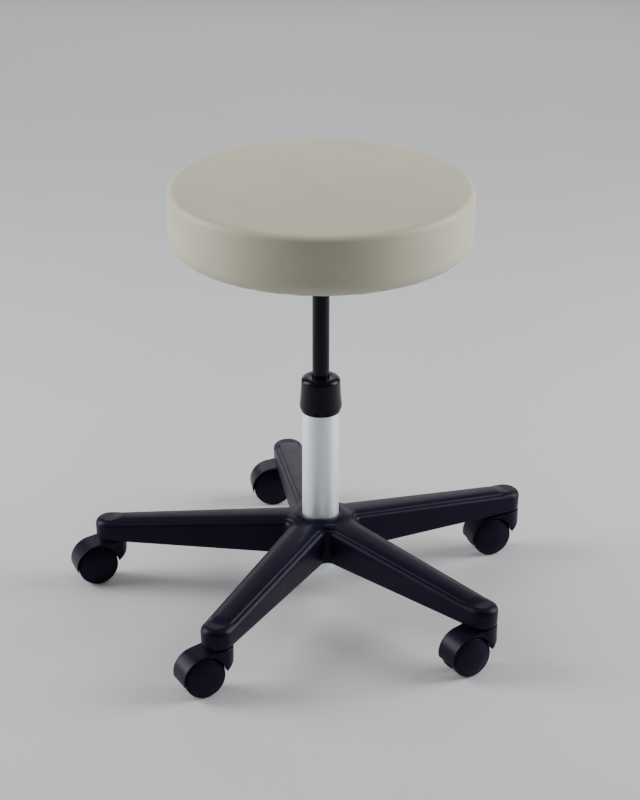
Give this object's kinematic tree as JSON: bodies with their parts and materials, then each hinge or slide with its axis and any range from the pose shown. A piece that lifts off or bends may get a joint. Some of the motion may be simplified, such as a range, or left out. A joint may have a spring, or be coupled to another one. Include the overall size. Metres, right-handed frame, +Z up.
{
  "type": "dentist stool",
  "caption": "Round padded stool on a swivelling gas-lift column, with a five-leg moulded base on twin-wheel casters.",
  "frame": {"origin": "on the floor, on the column's axis, in the middle of the plan box of the casters and seat", "axes": "+Z up along the column; +X and +Y are level, with leg 1 at 11.5 degrees from +X and the others every 72 degrees"},
  "size_m": [0.6217, 0.6306, 0.602],
  "materials": {
    "vinyl": "soft matt upholstery vinyl, fine grain",
    "foam": "open-cell cushion foam",
    "plywood": "plain plywood",
    "black_steel": "black coated steel, semi-gloss",
    "bright_steel": "bright zinc or ground steel",
    "satin_steel": "satin silver",
    "black_plastic": "moulded black plastic, slight sheen",
    "caster_plastic": "moulded black nylon, slight gloss",
    "wheel_plastic": "moulded black nylon",
    "rubber": "black rubber"
  },
  "bodies": {
    "root": {"base": "black_plastic", "hub_sleeve": "bright_steel", "column_tube": "satin_steel", "column_collar": "black_plastic", "guide_bush": "black_plastic", "bearing_race_lower": "bright_steel"},
    "spindle": {"piston_rod": "bright_steel", "piston": "bright_steel", "bearing_race_upper": "bright_steel", "bearing_cage": "bright_steel", "end_stop_buffer": "rubber", "retaining_clip": "bright_steel"},
    "seat_carrier": {"gas_cylinder": "black_steel", "rod_seal": "rubber", "taper_socket": "black_steel", "seat_bracket": "black_steel", "seat_bolt_1": "bright_steel", "seat_bolt_2": "bright_steel", "seat_bolt_3": "bright_steel", "seat_bolt_4": "bright_steel", "seat_board": "plywood", "seat_foam": "foam", "seat_cover": "vinyl", "lever_pin": "bright_steel"},
    "lever": {"lever_bar": "black_steel", "lever_grip": "black_plastic"},
    "valve": {"valve_button": "bright_steel"},
    "caster_1": {"caster_1_stem": "bright_steel", "caster_1_housing": "caster_plastic", "caster_1_axle": "bright_steel"},
    "caster_1_left": {"caster_1_wheel_left": "wheel_plastic"},
    "caster_1_right": {"caster_1_wheel_right": "wheel_plastic"},
    "caster_2": {"caster_2_stem": "bright_steel", "caster_2_housing": "caster_plastic", "caster_2_axle": "bright_steel"},
    "caster_2_left": {"caster_2_wheel_left": "wheel_plastic"},
    "caster_2_right": {"caster_2_wheel_right": "wheel_plastic"},
    "caster_3": {"caster_3_stem": "bright_steel", "caster_3_housing": "caster_plastic", "caster_3_axle": "bright_steel"},
    "caster_3_left": {"caster_3_wheel_left": "wheel_plastic"},
    "caster_3_right": {"caster_3_wheel_right": "wheel_plastic"},
    "caster_4": {"caster_4_stem": "bright_steel", "caster_4_housing": "caster_plastic", "caster_4_axle": "bright_steel"},
    "caster_4_left": {"caster_4_wheel_left": "wheel_plastic"},
    "caster_4_right": {"caster_4_wheel_right": "wheel_plastic"},
    "caster_5": {"caster_5_stem": "bright_steel", "caster_5_housing": "caster_plastic", "caster_5_axle": "bright_steel"},
    "caster_5_left": {"caster_5_wheel_left": "wheel_plastic"},
    "caster_5_right": {"caster_5_wheel_right": "wheel_plastic"}
  },
  "joints": [
    {"name": "seat_swivel", "type": "hinge", "parent": "root", "child": "spindle", "pos_m": [0, 0, 0.3], "axis": [0, 0, 1], "continuous": true},
    {"name": "seat_height", "type": "slide", "parent": "spindle", "child": "seat_carrier", "axis": [0, 0, 1], "range_m": [-0.127, 0]},
    {"name": "lever_lift", "type": "hinge", "parent": "seat_carrier", "child": "lever", "pos_m": [-0.01824, 0.0123, 0.504], "axis": [0.5592, 0.829, 0], "range_deg": [0, 5.3], "stiffness_Nm_per_rad": 0.8},
    {"name": "valve_press", "type": "slide", "parent": "seat_carrier", "child": "valve", "axis": [0, 0, -1], "range_m": [0, 0.00206]},
    {"name": "caster_1_swivel", "type": "hinge", "parent": "root", "child": "caster_1", "pos_m": [0.29006, 0.05901, 0.064], "axis": [0, 0, 1], "continuous": true},
    {"name": "caster_1_left_spin", "type": "hinge", "parent": "caster_1", "child": "caster_1_left", "pos_m": [0.28922, 0.03503, 0.0282], "axis": [0.9994, -0.0349, 0], "continuous": true},
    {"name": "caster_1_right_spin", "type": "hinge", "parent": "caster_1", "child": "caster_1_right", "pos_m": [0.28922, 0.03503, 0.0282], "axis": [0.9994, -0.0349, 0], "continuous": true},
    {"name": "caster_2_swivel", "type": "hinge", "parent": "root", "child": "caster_2", "pos_m": [0.03351, 0.2941, 0.064], "axis": [0, 0, 1], "continuous": true},
    {"name": "caster_2_left_spin", "type": "hinge", "parent": "caster_2", "child": "caster_2_left", "pos_m": [0.02852, 0.27062, 0.0282], "axis": [0.9781, -0.2079, 0], "continuous": true},
    {"name": "caster_2_right_spin", "type": "hinge", "parent": "caster_2", "child": "caster_2_right", "pos_m": [0.02852, 0.27062, 0.0282], "axis": [0.9781, -0.2079, 0], "continuous": true},
    {"name": "caster_3_swivel", "type": "hinge", "parent": "root", "child": "caster_3", "pos_m": [-0.26935, 0.12275, 0.064], "axis": [0, 0, 1], "continuous": true},
    {"name": "caster_3_left_spin", "type": "hinge", "parent": "caster_3", "child": "caster_3_left", "pos_m": [-0.27987, 0.10118, 0.0282], "axis": [0.8988, -0.4384, 0], "continuous": true},
    {"name": "caster_3_right_spin", "type": "hinge", "parent": "caster_3", "child": "caster_3_right", "pos_m": [-0.27987, 0.10118, 0.0282], "axis": [0.8988, -0.4384, 0], "continuous": true},
    {"name": "caster_4_swivel", "type": "hinge", "parent": "root", "child": "caster_4", "pos_m": [-0.19998, -0.21823, 0.064], "axis": [0, 0, 1], "continuous": true},
    {"name": "caster_4_left_spin", "type": "hinge", "parent": "caster_4", "child": "caster_4_left", "pos_m": [-0.20578, -0.24152, 0.0282], "axis": [0.9703, -0.2419, 0], "continuous": true},
    {"name": "caster_4_right_spin", "type": "hinge", "parent": "caster_4", "child": "caster_4_right", "pos_m": [-0.20578, -0.24152, 0.0282], "axis": [0.9703, -0.2419, 0], "continuous": true},
    {"name": "caster_5_swivel", "type": "hinge", "parent": "root", "child": "caster_5", "pos_m": [0.14576, -0.25762, 0.064], "axis": [0, 0, 1], "continuous": true},
    {"name": "caster_5_left_spin", "type": "hinge", "parent": "caster_5", "child": "caster_5_left", "pos_m": [0.14283, -0.28145, 0.0282], "axis": [0.9925, -0.1219, 0], "continuous": true},
    {"name": "caster_5_right_spin", "type": "hinge", "parent": "caster_5", "child": "caster_5_right", "pos_m": [0.14283, -0.28145, 0.0282], "axis": [0.9925, -0.1219, 0], "continuous": true}
  ],
  "couplings": [
    {"joint": "valve_press", "follows": "lever_lift", "m_per_rad": 0.022}
  ]
}
